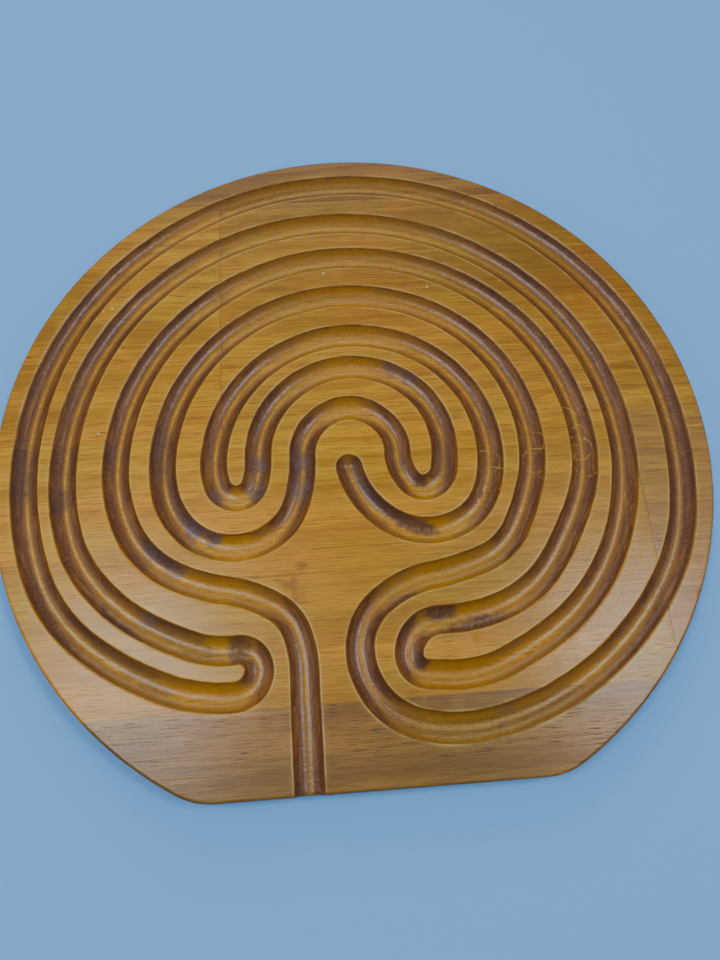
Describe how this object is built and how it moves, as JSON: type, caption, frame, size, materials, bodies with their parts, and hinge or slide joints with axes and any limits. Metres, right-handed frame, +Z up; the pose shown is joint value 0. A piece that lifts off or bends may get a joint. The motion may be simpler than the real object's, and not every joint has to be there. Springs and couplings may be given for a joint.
{
  "type": "finger labyrinth board",
  "caption": "Round wooden finger labyrinth board with a straight front edge and one long round-bottomed groove winding from that edge to the middle.",
  "frame": {"origin": "on the underside, directly below the centre of the board's round edge", "axes": "+X to the right along the wood grain and the straight front edge, +Y to the back away from the straight edge, +Z up out of the grooved face"},
  "size_m": [0.3899, 0.3694, 0.019],
  "materials": {
    "back_stave": "orange-brown clear-varnished softwood",
    "rear_left_board": "golden clear-varnished softwood",
    "rear_right_board": "amber clear-varnished softwood",
    "centre_board": "honey clear-varnished softwood",
    "right_end_board": "brown clear-varnished softwood",
    "front_stave": "greyish-brown clear-varnished softwood"
  },
  "bodies": {
    "root": {"back_stave": "back_stave", "rear_left_board": "rear_left_board", "rear_right_board": "rear_right_board", "centre_board": "centre_board", "right_end_board": "right_end_board", "front_stave": "front_stave"}
  },
  "joints": []
}
